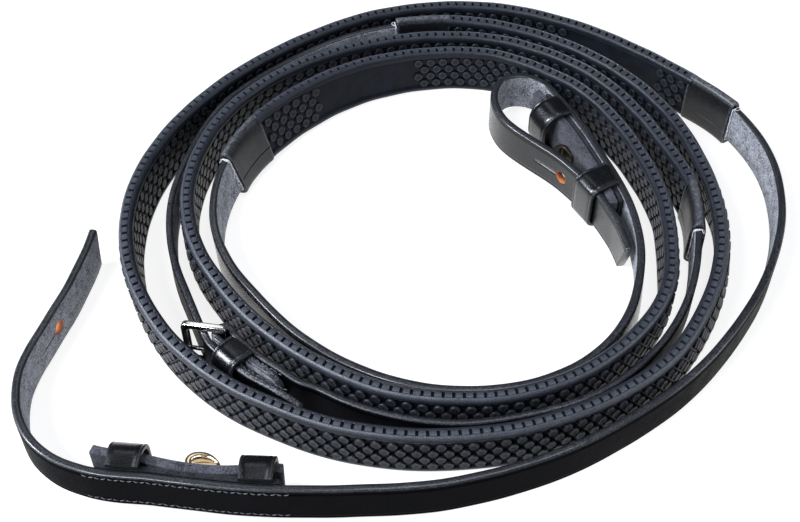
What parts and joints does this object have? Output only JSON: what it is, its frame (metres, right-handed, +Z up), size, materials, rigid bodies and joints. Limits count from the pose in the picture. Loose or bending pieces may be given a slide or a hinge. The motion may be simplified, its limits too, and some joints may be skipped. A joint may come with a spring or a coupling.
{
  "type": "leather reins with rubber grips",
  "caption": "Pair of black leather bridle reins with studded rubber grips and hook-stud billets, buckled together and coiled standing on edge.",
  "frame": {"origin": "middle of the coil's footprint, on the floor it stands on", "axes": "+Z up, the straps standing on edge; +X to the right and +Y to the back as seen from the side where the open billet lies"},
  "size_m": [0.2646, 0.2294, 0.0218],
  "materials": {
    "black_leather": "semi-gloss grain, edge-dyed",
    "wrap_leather": "smooth semi-matte",
    "keeper_leather": "glossy, creased edges",
    "flesh_leather": "matte suede flesh side",
    "rubber": "semi-matte, studded",
    "webbing": "matte woven core",
    "hook_brass": "polished pale brass",
    "buckle_steel": "polished"
  },
  "bodies": {
    "reins": {"buckle_keeper": "keeper_leather", "left_billet_lining": "flesh_leather", "left_bit_strap": "black_leather", "left_grip_core": "webbing", "left_grip_rubber": "rubber", "left_hand_strap": "black_leather", "left_hook_stud": "hook_brass", "left_keeper_loop_end": "keeper_leather", "left_keeper_rein_end": "keeper_leather", "left_stud_strap": "flesh_leather", "left_wrap_bit_end": "wrap_leather", "left_wrap_hand_end": "wrap_leather", "right_billet_lining": "flesh_leather", "right_bit_strap": "black_leather", "right_grip_core": "webbing", "right_grip_rubber": "rubber", "right_hand_strap": "black_leather", "right_hook_stud": "hook_brass", "right_keeper_loop_end": "keeper_leather", "right_keeper_rein_end": "keeper_leather", "right_stud_strap": "flesh_leather", "right_wrap_bit_end": "wrap_leather", "right_wrap_hand_end": "wrap_leather"},
    "buckle": {"buckle_frame": "buckle_steel"},
    "tongue": {"buckle_tongue": "buckle_steel"}
  },
  "joints": [
    {"name": "buckle_swing", "type": "hinge", "parent": "reins", "child": "buckle", "pos_m": [-0.06547, -0.05502, 0.01081], "axis": [0, 0, 1], "range_deg": [-10, 2]},
    {"name": "tongue_swing", "type": "hinge", "parent": "buckle", "child": "tongue", "pos_m": [-0.06547, -0.05502, 0.01081], "axis": [0, 0, 1], "range_deg": [0, 3]}
  ]
}
